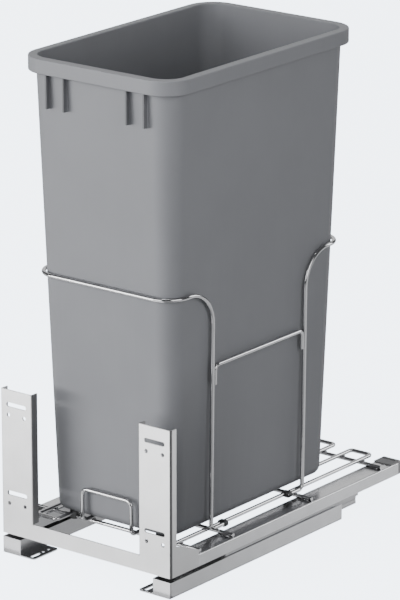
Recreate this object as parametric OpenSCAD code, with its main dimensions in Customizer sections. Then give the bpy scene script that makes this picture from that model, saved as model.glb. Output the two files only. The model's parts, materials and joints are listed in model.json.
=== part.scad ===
// Pull-out bin frame: a wire cradle on a pair of telescopic floor slides, with a
// slotted bracket for the cabinet door and a tall tapered bin that lifts out.
// Millimetres. +Z is up, the door side faces -Y, and the origin is on the cabinet
// floor at the centre of the closed frame.

/* [Frame] */
// Width across the outer faces of both slides
frame_w = 254; // [230:1:330]
// Depth from the face of the door bracket to the rear end caps
frame_d = 460; // [445:1:520]

/* [Slides] */
// Width of a slide
rail_w = 27; // [25:0.5:34]
// Sheet thickness of the slides
sheet_t = 1.5; // [1.2:0.1:2]
// Height of the cabinet runner
cabinet_h = 20; // [18:0.5:26]
// Length of the cabinet runner
cabinet_l = 335; // [320:1:380]
// Open height between the cabinet runner and the carrier rail
slide_gap = 5; // [3:0.5:9]
// Height of the carrier rail
carrier_h = 15; // [14:0.5:22]
// Width of the middle runner
middle_w = 16; // [13:0.5:17.5]
// Length of the middle runner
middle_l = 265; // [250:1:290]
// Distance of the middle runner behind the front face when closed
middle_set = 106.5; // [95:0.5:115]
// Height of the low edge of the middle runner above the floor
middle_low = 9.5; // [7:0.5:12]
// Distance of the middle runner's lips inside the outer faces of the slide
lip_set = 2.4; // [0.8:0.1:3]
// How far the frame pulls out
travel = 400; // [360:1:420]
// Depth of the ball race in a slide wall
race_depth = 0.55; // [0.3:0.05:0.8]
// Clearance between a ball and its races
race_clear = 0.3; // [0.2:0.05:0.4]
// Sheet thickness of a ball cage
cage_t = 0.8; // [0.6:0.1:1.2]
// Clearance above and below a cage web
cage_clear = 0.6; // [0.4:0.1:1]
// Edge of a cage beyond the centres of its balls
cage_edge = 3.6; // [3.2:0.1:4.5]
// Distance between the balls in a row
ball_pitch = 19; // [12:1:30]
// Length of the rubber bumper behind the front plate
bumper_l = 8; // [5:0.5:14]
// Length of a rear end cap outside its rail
cap_l = 7; // [4:0.5:10]
// Length of the cap's plug inside the rail
cap_plug_l = 3; // [2:0.5:6]
// Clearance between the cap and its rail
cap_fit = 0.2; // [0.1:0.05:0.4]
// Length of the cap's tongue on top of the rail
cap_tongue_l = 15; // [8:1:20]
// Thickness of the cap's tongue
cap_tongue_t = 1; // [0.8:0.1:1.6]
// Clearance where one slide piece stops against another
stop_gap = 0.5; // [0.3:0.1:1]

/* [Floor feet] */
// Reach of a foot inward from its runner
foot_w = 21; // [17:0.5:30]
// Length of a foot along its runner
foot_l = 46; // [43:1:60]
// Distance of the foot's holes from its free edge
foot_edge = 7.5; // [6:0.5:9]
// Screw slot length in a foot
foot_slot_l = 17; // [10:0.5:20]
// Screw slot and screw hole diameter in a foot
foot_hole_d = 4.5; // [3.5:0.1:5.5]
// Centre of the slot from the end of the runner
foot_slot_set = 12; // [11:0.5:14]
// Centre of the first hole from the end of the runner
foot_hole_set = 26; // [25:0.5:30]
// Distance from the first hole to the second
foot_hole_pitch = 10; // [7:0.5:12]

/* [Door bracket] */
// Sheet thickness of the bracket
plate_t = 1.8; // [1.2:0.1:2.5]
// Height of the bracket
bracket_h = 180; // [160:1:240]
// Width of an upright
upright_w = 47; // [42:1:60]
// Height of the bar between the uprights
bar_h = 19.5; // [14:0.5:26]
// Depth of the folded flanges
flange_d = 11; // [7:0.5:16]
// Length of the side gusset from the face
gusset_l = 53; // [40:1:56]
// Height of the gusset behind the flange
gusset_h = 37; // [28:1:60]
// Height of the gusset at its rear edge
gusset_end_h = 21; // [17:1:26]
// Length of a door slot
slot_l = 30; // [20:0.5:34]
// Width of a door slot
slot_w = 5.5; // [4:0.1:7]
// Height between the upper and the lower slots
slot_pitch = 110; // [90:1:115]
// Distance of the upper slots below the top edge
slot_drop = 18; // [12:0.5:24]
// Diameter of the door holes
hole_d = 5; // [3.5:0.1:6.5]
// Distance between the two holes under a slot
hole_pitch = 24; // [16:0.5:28]
// Distance of the holes below their slot
hole_drop = 13; // [9:0.5:18]

/* [Wires] */
// Wire diameter of the floor rack
rack_wire_d = 5; // [4:0.1:6]
// Wire diameter of the hoops
hoop_wire_d = 5.2; // [4:0.1:6]
// Wire diameter of the side bars
bar_wire_d = 5; // [3:0.1:5.2]
// How far welded wires sink into each other
weld_sink = 0.1; // [0.02:0.02:0.15]
// Distance of the cross wires' ends inside the slides' outer faces
cross_inset = 3; // [2:0.5:8]
// Front cross wire from the front face
cross_front = 59; // [58:0.5:64]
// Rear cross wire from the rear end
cross_rear = 39.5; // [30:0.5:60]
// Width of a side loop between its wire centres
side_loop_w = 30; // [20:0.5:38]
// Front of the side loops from the front face
side_loop_front = 26; // [18:0.5:40]
// Rear of the side loops from the rear end
side_loop_rear = 20.5; // [12:0.5:28]
// Distance of the centre loop's legs from the middle
centre_loop_x = 37; // [25:0.5:48]
// Rear of the centre loop from the rear end
centre_loop_rear = 16.5; // [10:0.5:26]
// Bend radius at the corners of the rack loops
loop_bend_r = 4.5; // [4:0.5:12]
// Height of the raised front stop above the rack
stop_h = 41; // [30:1:60]
// Distance of the front stop before the foot of the bin
stop_out = 8; // [6:0.5:12]
// Bend radius at the foot of the front stop
stop_bend_r = 6; // [5:0.5:9]
// Bend radius at the top corners of the front stop
stop_corner_r = 8; // [5:0.5:12]
// Height of the hoops above the floor
hoop_z = 344; // [290:1:400]
// Clearance between the hoops and the bin
hoop_clear = 1.6; // [1:0.1:5]
// Radius of the hoops' corners
hoop_corner_r = 30; // [25:0.5:36]
// Straight length of a hoop between its corner and its shoulder
hoop_side_l = 4; // [1:0.5:12]
// Radius of the shoulder where a hoop turns down
hoop_arc_r = 43; // [30:0.5:50]
// Length of the turned foot of an upright
hoop_foot_l = 27; // [24:0.5:34]
// Bend radius at the foot of an upright
hoop_foot_r = 7; // [6:0.5:9]
// Distance of the weld to the cross wire behind the upright
hoop_weld = 12; // [10:0.5:13]
// Height of the side bars above the floor
side_bar_z = 249; // [200:1:280]
// Length of the side bars' turned-down ends
side_bar_leg = 23; // [14:0.5:32]
// Bend radius of the side bars
side_bar_r = 6; // [4:0.5:8]

/* [Clips] */
// Wall of a clip around its wires
clip_t = 1.3; // [1:0.1:2.2]
// Length of a hoop clip
hoop_clip_l = 5.5; // [4.5:0.5:10]
// How far a hoop clip reaches past the end of the hoop's foot
hoop_clip_past = 2.2; // [0:0.1:2.5]
// Diameter of a cross clip
cross_clip_d = 11; // [9:0.5:14]
// Clearance between a clip and its wires
clip_clear = 0.1; // [0.05:0.01:0.2]

/* [Bin] */
// Width of the bin's rim
bin_w = 229; // [210:1:240]
// Depth of the bin's rim
bin_d = 361; // [350:1:375]
// Height of the bin
bin_h = 555; // [480:1:620]
// Distance of the rim behind the front face
bin_gap = 19.5; // [14:0.5:30]
// Reach of the rim past the wall under it
rim_over = 9; // [6:0.5:11]
// Height of the rim's skirt
rim_h = 18; // [12:0.5:26]
// How much each side wall leans in from rim to foot
taper_x = 14.5; // [8:0.5:18]
// How much the front and rear walls lean in from rim to foot
taper_y = 19.5; // [12:0.5:24]
// Wall thickness of the bin
bin_t = 2.4; // [1.8:0.1:3.5]
// Thickness of the bin's floor
bin_floor_t = 3; // [2:0.5:6]
// Corner radius of the rim
rim_corner_r = 36; // [26:1:45]
// Corner radius of the wall at the foot
base_corner_r = 22; // [14:1:30]
// Round along the bottom edge
base_round = 7; // [4:0.5:10]
// Distance of the inner ribs from the middle
rib_inner_x = 46; // [35:0.5:54]
// Distance of the outer ribs from the middle
rib_outer_x = 71.5; // [62:0.5:72]
// Thickness of a rib
rib_t = 2.6; // [2:0.1:5]
// Length of a rib below the rim
rib_l = 41; // [25:1:60]
// How much shorter a rib is at its outer edge
rib_cut = 0.8; // [0:0.1:4]
// Distance of a rib's edge behind the face of the rim
rib_set = 2.8; // [0.5:0.1:4]
// Gap between the bin and the wires it stands on
bin_rest = 0.3; // [0.2:0.1:0.6]

/* [Hidden] */
$fn = 48;

// Overshoot of every cut past the face it opens
cut = 1;
// Thickness of the slices that the bin's walls are stretched between
slice = 0.02;
// Angles of the slices round the bin's bottom edge
foot_steps = [0, 30, 60, 90];

// Frame limits and slide places
half_w = frame_w / 2;
front_y = -frame_d / 2;
rear_y = frame_d / 2;
rail_x = half_w - rail_w / 2;
rail_inner = rail_w / 2 - sheet_t;
rail_rear_y = rear_y - cap_l;
carrier_z = cabinet_h + slide_gap;
carrier_top = carrier_z + carrier_h;

// Middle runner and its races
middle_half = middle_w / 2;
middle_top = carrier_top - sheet_t - cage_t - 2 * cage_clear;
middle_front_y = front_y + middle_set;
middle_rear_y = middle_front_y + middle_l;
middle_high = cabinet_h + cage_clear;
race_u = (rail_inner + middle_half) / 2;
race_r = (rail_inner - middle_half) / 2 + race_depth;
ball_r = race_r - race_clear;
lower_race_z = (middle_low + cabinet_h) / 2;
upper_race_z = (carrier_z + middle_top) / 2;
ear_u = race_u + cage_t;

// The bumper stops the low part of the middle runner at full reach
bumper_rear_y = front_y + sheet_t + bumper_l;
middle_low_y = bumper_rear_y + stop_gap + travel / 2;
cabinet_rear_y = front_y + cabinet_l;
lower_cage_front = middle_low_y + stop_gap;
lower_cage_rear = min(cabinet_rear_y, middle_rear_y - travel / 4) - stop_gap;
upper_cage_front = middle_front_y + sheet_t + stop_gap + travel / 4;
upper_cage_rear = min(middle_rear_y, rail_rear_y - cap_plug_l - travel / 4) - stop_gap;

// Wire radii and the heights of the stacked rack wires
rack_r = rack_wire_d / 2;
hoop_r = hoop_wire_d / 2;
bar_r = bar_wire_d / 2;
cross_z = carrier_top + rack_r - weld_sink;
rack_z = cross_z + rack_wire_d - weld_sink;
bin_z = rack_z + rack_r + bin_rest;

// Bin: half sizes of the outer wall under the rim and at the foot
bin_y = front_y + bin_gap + bin_d / 2;
wall_top = [bin_w / 2 - rim_over, bin_d / 2 - rim_over];
wall_base = [wall_top[0] - taper_x, wall_top[1] - taper_y];
wall_corner_r = rim_corner_r - rim_over;
function hundredth(v) = round(v * 100) / 100;
function wall_half(z) = wall_base + (wall_top - wall_base) * (z - bin_z) / bin_h;

// Hoops: runs, uprights, and the side planes, which lean in by 1 in lean_drop
// towards the floor. Hundredths keep the bends and runs of a wire in line.
lean_drop = 100;
hoop_lean = asin(1 / lean_drop);
hoop_x = hundredth(wall_half(hoop_z)[0] + hoop_clear + hoop_r);
hoop_front_y = hundredth(bin_y - wall_half(hoop_z)[1] - hoop_clear - hoop_r);
hoop_rear_y = 2 * bin_y - hoop_front_y;
hoop_upright = hoop_corner_r + hoop_side_l + hoop_arc_r;
front_upright_y = hoop_front_y + hoop_upright;
rear_upright_y = hoop_rear_y - hoop_upright;
hoop_foot_z = cross_z + rack_r + hoop_r - weld_sink;
hoop_len = hundredth((hoop_z - hoop_foot_z) / cos(hoop_lean));
hoop_foot_x = hundredth(hoop_x - hoop_len / lean_drop);

// Rack loops beside the hoops' feet, cross wires under them, and the front stop
rack_leg_x = hundredth(hoop_foot_x - rack_r - hoop_r + weld_sink);
side_loop_x = rack_leg_x - side_loop_w;
stop_y = bin_y - wall_base[1] - stop_out;
second_cross_y = front_upright_y + hoop_weld;
third_cross_y = rear_upright_y - hoop_weld;

// Punched slots at the rear of the carrier rail
punch_size = [5, 3.5];
punch_rear = 19;
punch_pitch = 7.5;

// Shared shapes

module other_side() {
    mirror([1, 0, 0]) children();
}

module rod(a, b, r) {
    d = b - a;
    translate(a)
        rotate([0, acos(d[2] / norm(d)), atan2(d[1], d[0])])
            cylinder(h = norm(d), r = r);
}

// A quarter bend of wire in the plane that the caller turns it to
module quarter(bend_r, r, start) {
    rotate([0, 0, start])
        rotate_extrude(angle = 90)
            translate([bend_r, 0])
                circle(r = r);
}

module bend_xy(c, bend_r, r, start) {
    translate(c) quarter(bend_r, r, start);
}

module bend_yz(c, bend_r, r, start) {
    translate(c) rotate([90, 0, 90]) quarter(bend_r, r, start);
}

module bend_xz(c, bend_r, r, start) {
    translate(c) rotate([90, 0, 0]) quarter(bend_r, r, start);
}

module rounded(half, r) {
    square([2 * half[0] - 2 * r, 2 * half[1]], center = true);
    square([2 * half[0], 2 * half[1] - 2 * r], center = true);
    for (sx = [-1, 1], sy = [-1, 1])
        translate([sx * (half[0] - r), sy * (half[1] - r)])
            circle(r = r);
}

// A box from its low corner to its high corner
module block(lo, hi) {
    translate(lo) cube(hi - lo);
}

// Ball races along both walls of a slide
module races(z, y0, y1) {
    for (u = [-race_u, race_u])
        rod([u, y0 - cut, z], [u, y1 + cut, z], race_r);
}

// Slides, drawn about the slide's own middle plane at X = 0

module foot(end_y, inward) {
    hole_x = -rail_w / 2 - foot_w + foot_edge;
    difference() {
        block([-rail_w / 2 - foot_w, min(end_y, end_y + inward * foot_l), 0],
              [-rail_w / 2, max(end_y, end_y + inward * foot_l), sheet_t]);
        for (s = [-1, 1])
            translate([hole_x, end_y + inward * foot_slot_set + s * (foot_slot_l - foot_hole_d) / 2, -cut])
                cylinder(h = sheet_t + 2 * cut, d = foot_hole_d);
        translate([hole_x - foot_hole_d / 2,
                   end_y + inward * foot_slot_set - (foot_slot_l - foot_hole_d) / 2, -cut])
            cube([foot_hole_d, foot_slot_l - foot_hole_d, sheet_t + 2 * cut]);
        for (i = [0, 1])
            translate([hole_x, end_y + inward * (foot_hole_set + i * foot_hole_pitch), -cut])
                cylinder(h = sheet_t + 2 * cut, d = foot_hole_d);
    }
}

module cabinet_runner() {
    difference() {
        block([-rail_w / 2, front_y, 0], [rail_w / 2, cabinet_rear_y, cabinet_h]);
        block([-rail_inner, front_y + sheet_t, sheet_t], [rail_inner, cabinet_rear_y + cut, cabinet_h + cut]);
        races(lower_race_z, bumper_rear_y, cabinet_rear_y);
    }
    foot(front_y, 1);
    foot(cabinet_rear_y, -1);
}

module front_bumper() {
    block([-rail_inner, front_y + sheet_t, sheet_t], [rail_inner, bumper_rear_y, cabinet_h]);
}

module middle_runner() {
    difference() {
        union() {
            block([-middle_half, middle_front_y, middle_high], [middle_half, middle_rear_y, middle_top]);
            block([-middle_half, middle_low_y, middle_low], [middle_half, middle_rear_y, middle_high]);
        }
        block([-middle_half + sheet_t, middle_front_y - cut, middle_low - cut],
              [middle_half - sheet_t, middle_rear_y + cut, middle_top - sheet_t]);
        races(lower_race_z, middle_low_y, middle_rear_y);
        races(upper_race_z, middle_front_y, middle_rear_y);
    }
    // Lips in the open height between the cabinet runner and the carrier rail
    for (s = [0, 1])
        mirror([s, 0, 0])
            block([middle_half - sheet_t, middle_front_y, middle_high],
                  [rail_w / 2 - lip_set, middle_rear_y, carrier_z - cage_clear]);
    // Ears that hold the upper cage back at full reach
    for (s = [0, 1])
        mirror([s, 0, 0])
            block([middle_half - sheet_t, middle_front_y, upper_race_z - race_r],
                  [ear_u, middle_front_y + sheet_t, upper_race_z + race_r]);
}

function ball_count(length) = max(2, floor((length - 2 * cage_edge) / ball_pitch) + 1);
function ball_y(front, rear, i) =
    (front + rear) / 2 + (i - (ball_count(rear - front) - 1) / 2) * ball_pitch;

module balls(front, rear, z) {
    for (i = [0 : ball_count(rear - front) - 1], u = [-race_u, race_u])
        translate([u, ball_y(front, rear, i), z])
            sphere(r = ball_r);
}

// A bent strip over or under the middle runner, with a hole for each ball
module cage(front, rear, z, web_z, low_z, high_z) {
    hole_r = ball_r + race_clear;
    difference() {
        union() {
            for (u = [-race_u, race_u])
                block([u - cage_t / 2, front, low_z], [u + cage_t / 2, rear, high_z]);
            block([-race_u, front, web_z], [race_u, rear, web_z + cage_t]);
        }
        for (i = [0 : ball_count(rear - front) - 1], u = [-race_u, race_u])
            translate([u - cage_t / 2 - cut, ball_y(front, rear, i), z])
                rotate([0, 90, 0])
                    cylinder(h = cage_t + 2 * cut, r = hole_r);
    }
}

module lower_cage() {
    web_z = sheet_t + cage_clear;
    cage(lower_cage_front, lower_cage_rear, lower_race_z, web_z, web_z, lower_race_z + cage_edge);
}

module upper_cage() {
    web_z = middle_top + cage_clear;
    cage(upper_cage_front, upper_cage_rear, upper_race_z, web_z,
         upper_race_z - cage_edge, web_z + cage_t);
}

module carrier_rail() {
    start_y = front_y + plate_t;
    gusset_y = front_y + gusset_l;
    difference() {
        block([-rail_w / 2, start_y, carrier_z], [rail_w / 2, rail_rear_y, carrier_top]);
        block([-rail_inner, start_y - cut, carrier_z - cut], [rail_inner, rail_rear_y + cut, carrier_top - sheet_t]);
        races(upper_race_z, gusset_y + cut, rail_rear_y);
        // The bracket's gusset takes the place of the outer wall here
        block([rail_w / 2 - plate_t, start_y - cut, carrier_z - cut],
              [rail_w / 2 + cut, gusset_y, carrier_top + cut]);
        for (i = [0, 1])
            translate([i * punch_pitch, rail_rear_y - punch_rear, carrier_top - sheet_t - cut])
                cube([punch_size[0], punch_size[1], sheet_t + 2 * cut]);
    }
}

// An arched cap with a tongue on the rail: the middle runner passes through it,
// and the upper cage stops at its plug
module end_cap() {
    plug_y = rail_rear_y - cap_plug_l;
    pass_u = middle_half + cage_clear;
    tongue_z = carrier_top + cap_fit;
    difference() {
        union() {
            block([-rail_w / 2, rail_rear_y, carrier_z], [rail_w / 2, rear_y, tongue_z + cap_tongue_t]);
            block([-rail_inner + cap_fit, plug_y, carrier_z],
                  [rail_inner - cap_fit, rail_rear_y, carrier_top - sheet_t - cap_fit]);
            block([-rail_w / 2, rail_rear_y - cap_tongue_l, tongue_z],
                  [rail_w / 2, rear_y, tongue_z + cap_tongue_t]);
        }
        block([-pass_u, plug_y - cut, carrier_z - cut], [pass_u, rear_y + cut, middle_top + cage_clear]);
    }
}

// Door bracket

module slot_cut(x, z) {
    for (s = [-1, 1])
        rod([x + s * (slot_l - slot_w) / 2, front_y - cut, z],
            [x + s * (slot_l - slot_w) / 2, front_y + plate_t + cut, z], slot_w / 2);
    block([x - (slot_l - slot_w) / 2, front_y - cut, z - slot_w / 2],
          [x + (slot_l - slot_w) / 2, front_y + plate_t + cut, z + slot_w / 2]);
}

module bracket_upright() {
    top_z = carrier_z + bracket_h;
    inner_x = half_w - upright_w;
    centre_x = half_w - upright_w / 2;
    difference() {
        block([inner_x, front_y, carrier_z], [half_w, front_y + plate_t, top_z]);
        for (z = [top_z - slot_drop, top_z - slot_drop - slot_pitch]) {
            slot_cut(centre_x, z);
            for (s = [-1, 1])
                rod([centre_x + s * hole_pitch / 2, front_y - cut, z - hole_drop],
                    [centre_x + s * hole_pitch / 2, front_y + plate_t + cut, z - hole_drop], hole_d / 2);
        }
    }
    block([inner_x, front_y, carrier_z + bar_h], [inner_x + plate_t, front_y + flange_d, top_z]);
    block([half_w - plate_t, front_y, carrier_z], [half_w, front_y + flange_d, top_z]);
    // Side gusset, sloping down to the carrier rail
    translate([half_w - plate_t, 0, 0])
        rotate([90, 0, 90])
            linear_extrude(plate_t)
                polygon([
                    [front_y + flange_d / 2, carrier_z],
                    [front_y + gusset_l, carrier_z],
                    [front_y + gusset_l, carrier_z + gusset_end_h],
                    [front_y + flange_d, carrier_z + gusset_h],
                    [front_y + flange_d / 2, carrier_z + gusset_h]
                ]);
}

module door_bracket() {
    color("gainsboro") {
        block([-half_w + upright_w, front_y, carrier_z],
              [half_w - upright_w, front_y + plate_t, carrier_z + bar_h]);
        bracket_upright();
        other_side() bracket_upright();
    }
}

// Wire rack

module cross_wire(y) {
    color("silver")
        rod([-half_w + cross_inset, y, cross_z], [half_w - cross_inset, y, cross_z], rack_r);
}

module rack_loop() {
    lo = [side_loop_x, front_y + side_loop_front];
    hi = [rack_leg_x, rear_y - side_loop_rear];
    b = loop_bend_r;
    for (x = [lo[0], hi[0]])
        rod([x, lo[1] + b, rack_z], [x, hi[1] - b, rack_z], rack_r);
    for (y = [lo[1], hi[1]])
        rod([lo[0] + b, y, rack_z], [hi[0] - b, y, rack_z], rack_r);
    bend_xy([hi[0] - b, hi[1] - b, rack_z], b, rack_r, 0);
    bend_xy([lo[0] + b, hi[1] - b, rack_z], b, rack_r, 90);
    bend_xy([lo[0] + b, lo[1] + b, rack_z], b, rack_r, 180);
    bend_xy([hi[0] - b, lo[1] + b, rack_z], b, rack_r, 270);
}

module centre_rack_loop() {
    x = centre_loop_x;
    b = loop_bend_r;
    c = stop_corner_r;
    end_y = rear_y - centre_loop_rear;
    top_z = rack_z + stop_h;
    color("silver") {
        rod([-x + b, end_y, rack_z], [x - b, end_y, rack_z], rack_r);
        rod([-x + c, stop_y, top_z], [x - c, stop_y, top_z], rack_r);
        for (s = [0, 1])
            mirror([s, 0, 0]) {
                bend_xy([x - b, end_y - b, rack_z], b, rack_r, 0);
                rod([x, stop_y + stop_bend_r, rack_z], [x, end_y - b, rack_z], rack_r);
                bend_yz([x, stop_y + stop_bend_r, rack_z + stop_bend_r], stop_bend_r, rack_r, 180);
                rod([x, stop_y, rack_z + stop_bend_r], [x, stop_y, top_z - c], rack_r);
                bend_xz([x - c, stop_y, top_z - c], c, rack_r, 0);
            }
    }
}

// Hoops, drawn with the run at Y = 0 and the uprights towards +Y

// Moves children into the leaning plane of an upright, at the hoop's side line
module side_plane() {
    translate([hoop_x, 0, hoop_z])
        rotate([0, hoop_lean, 0])
            children();
}

module hoop() {
    c = hoop_corner_r;
    shoulder_y = c + hoop_side_l;
    rod([-hoop_x + c, 0, hoop_z], [hoop_x - c, 0, hoop_z], hoop_r);
    for (s = [0, 1])
        mirror([s, 0, 0]) {
            bend_xy([hoop_x - c, c, hoop_z], c, hoop_r, 270);
            side_plane() {
                rod([0, c, 0], [0, shoulder_y, 0], hoop_r);
                bend_yz([0, shoulder_y, -hoop_arc_r], hoop_arc_r, hoop_r, 0);
                rod([0, hoop_upright, -hoop_len + hoop_foot_r], [0, hoop_upright, -hoop_arc_r], hoop_r);
                bend_yz([0, hoop_upright + hoop_foot_r, -hoop_len + hoop_foot_r], hoop_foot_r, hoop_r, 180);
                rod([0, hoop_upright + hoop_foot_r, -hoop_len],
                    [0, hoop_upright + hoop_foot_l, -hoop_len], hoop_r);
            }
        }
}

module front_hoop() {
    color("silver") translate([0, hoop_front_y, 0]) hoop();
}

module rear_hoop() {
    color("silver") translate([0, hoop_rear_y, 0]) mirror([0, 1, 0]) hoop();
}

module side_bar() {
    y0 = front_upright_y + hoop_r + bar_r - weld_sink;
    y1 = rear_upright_y - hoop_r - bar_r + weld_sink;
    z = hundredth((side_bar_z - hoop_z) / cos(hoop_lean));
    b = side_bar_r;
    side_plane() {
        rod([0, y0 + b, z], [0, y1 - b, z], bar_r);
        bend_yz([0, y1 - b, z - b], b, bar_r, 0);
        bend_yz([0, y0 + b, z - b], b, bar_r, 90);
        for (y = [y0, y1])
            rod([0, y, z - side_bar_leg], [0, y, z - b], bar_r);
    }
}

// Clips

// A sleeve round an outer rack leg and the hoop's foot beside it, centred at y
module hoop_clip(y) {
    centres = [[rack_leg_x, rack_z, rack_r], [hoop_foot_x, hoop_foot_z, hoop_r]];
    wall_r = max(rack_r, hoop_r) + clip_t;
    difference() {
        union() {
            for (c = centres)
                rod([c[0], y - hoop_clip_l / 2, c[1]], [c[0], y + hoop_clip_l / 2, c[1]], wall_r);
            block([rack_leg_x, y - hoop_clip_l / 2, min(rack_z, hoop_foot_z) - wall_r],
                  [hoop_foot_x, y + hoop_clip_l / 2, min(rack_z, hoop_foot_z) + wall_r]);
        }
        for (c = centres)
            rod([c[0], y - hoop_clip_l, c[1]], [c[0], y + hoop_clip_l, c[1]], c[2] + clip_clear);
    }
}

module hoop_clips() {
    reach = hoop_foot_l + hoop_clip_past - hoop_clip_l / 2;
    color("dimgray")
        for (s = [0, 1])
            mirror([s, 0, 0]) {
                hoop_clip(front_upright_y + reach);
                hoop_clip(rear_upright_y - reach);
            }
}

// A round clip on the crossing of a side loop and the front cross wire
module cross_clip() {
    y = front_y + cross_front;
    difference() {
        rod([side_loop_x, y, cross_z - rack_r], [side_loop_x, y, rack_z + rack_r], cross_clip_d / 2);
        rod([side_loop_x - cross_clip_d, y, cross_z], [side_loop_x + cross_clip_d, y, cross_z],
            rack_r + clip_clear);
        rod([side_loop_x, y - cross_clip_d, rack_z], [side_loop_x, y + cross_clip_d, rack_z],
            rack_r + clip_clear);
    }
}

module cross_clips() {
    color("dimgray") {
        cross_clip();
        other_side() cross_clip();
    }
}

// Bin

module bin_slice(z, half, r) {
    translate([0, 0, z]) linear_extrude(slice) rounded(half, r);
}

// A tapered block on a rounded foot, from z0 to z1
module bin_block(z0, z1, base, top, base_r, top_r, foot_r) {
    hull() {
        for (a = foot_steps) {
            inset = foot_r * (1 - cos(a));
            bin_slice(z0 + foot_r * (1 - sin(a)), base - [inset, inset], base_r - inset);
        }
        bin_slice(z1 - slice, top, top_r);
    }
}

module bin_body() {
    bin_block(0, bin_h, wall_base, wall_top, base_corner_r, wall_corner_r, base_round);
}

module bin_hollow() {
    t = [bin_t, bin_t];
    bin_block(bin_floor_t, bin_h + cut, wall_base - t, wall_top - t,
              base_corner_r - bin_t, wall_corner_r - bin_t, base_round - bin_t / 2);
}

module rim() {
    outer = [bin_w / 2, bin_d / 2];
    translate([0, 0, bin_h - rim_h])
        linear_extrude(rim_h)
            difference() {
                rounded(outer, rim_corner_r);
                rounded(outer - [bin_t, bin_t], rim_corner_r - bin_t);
            }
    translate([0, 0, bin_h - bin_t])
        linear_extrude(bin_t)
            rounded(outer, rim_corner_r);
}

// Ribs under the rim of the front and rear walls, cut back at the foot
module ribs() {
    reach = bin_d / 2 - rib_set;
    root = wall_half(bin_z + bin_h - rim_h - rib_l)[1] - bin_t / 2;
    low = bin_h - rim_h - rib_l;
    for (s = [0, 1], x = [-rib_outer_x, -rib_inner_x, rib_inner_x, rib_outer_x])
        mirror([0, s, 0])
            translate([x - rib_t / 2, 0, 0])
                rotate([90, 0, 90])
                    linear_extrude(rib_t)
                        polygon([
                            [root, low],
                            [reach, low + rib_cut],
                            [reach, bin_h - bin_t],
                            [root, bin_h - bin_t]
                        ]);
}

module bin() {
    color("gray")
        translate([0, bin_y, bin_z])
            difference() {
                union() {
                    bin_body();
                    rim();
                    ribs();
                }
                bin_hollow();
            }
}

// Left and right pieces

module right_slide(c) {
    color(c) translate([rail_x, 0, 0]) children();
}

module left_slide(c) {
    color(c) other_side() translate([rail_x, 0, 0]) children();
}

module right_cabinet_runner() { right_slide("lightgray") cabinet_runner(); }
module left_cabinet_runner() { left_slide("lightgray") cabinet_runner(); }
module right_front_bumper() { right_slide("#222222") front_bumper(); }
module left_front_bumper() { left_slide("#222222") front_bumper(); }
module right_lower_cage() { right_slide("darkgray") lower_cage(); }
module left_lower_cage() { left_slide("darkgray") lower_cage(); }
module right_lower_balls() { right_slide("white") balls(lower_cage_front, lower_cage_rear, lower_race_z); }
module left_lower_balls() { left_slide("white") balls(lower_cage_front, lower_cage_rear, lower_race_z); }
module right_middle_runner() { right_slide("silver") middle_runner(); }
module left_middle_runner() { left_slide("silver") middle_runner(); }
module right_upper_cage() { right_slide("darkgray") upper_cage(); }
module left_upper_cage() { left_slide("darkgray") upper_cage(); }
module right_upper_balls() { right_slide("white") balls(upper_cage_front, upper_cage_rear, upper_race_z); }
module left_upper_balls() { left_slide("white") balls(upper_cage_front, upper_cage_rear, upper_race_z); }
module right_carrier_rail() { right_slide("lightgray") carrier_rail(); }
module left_carrier_rail() { left_slide("lightgray") carrier_rail(); }
module right_end_cap() { right_slide("gray") end_cap(); }
module left_end_cap() { left_slide("gray") end_cap(); }
module front_cross_wire() { cross_wire(front_y + cross_front); }
module second_cross_wire() { cross_wire(second_cross_y); }
module third_cross_wire() { cross_wire(third_cross_y); }
module rear_cross_wire() { cross_wire(rear_y - cross_rear); }
module right_rack_loop() { color("silver") rack_loop(); }
module left_rack_loop() { color("silver") other_side() rack_loop(); }
module right_side_bar() { color("silver") side_bar(); }
module left_side_bar() { color("silver") other_side() side_bar(); }

left_cabinet_runner();
right_cabinet_runner();
left_front_bumper();
right_front_bumper();
left_lower_cage();
left_lower_balls();
right_lower_cage();
right_lower_balls();
left_middle_runner();
right_middle_runner();
left_upper_cage();
left_upper_balls();
right_upper_cage();
right_upper_balls();
left_carrier_rail();
right_carrier_rail();
left_end_cap();
right_end_cap();
door_bracket();
front_cross_wire();
second_cross_wire();
third_cross_wire();
rear_cross_wire();
left_rack_loop();
right_rack_loop();
centre_rack_loop();
front_hoop();
rear_hoop();
left_side_bar();
right_side_bar();
hoop_clips();
cross_clips();
bin();
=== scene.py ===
"""Dresses the pull-out bin frame: the moulded bin, the chrome wire cradle, the formed
sheet of the slides and the door bracket, and the studio that they are shown in."""

import json
from math import cos, pi, radians, sin, tan

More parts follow.
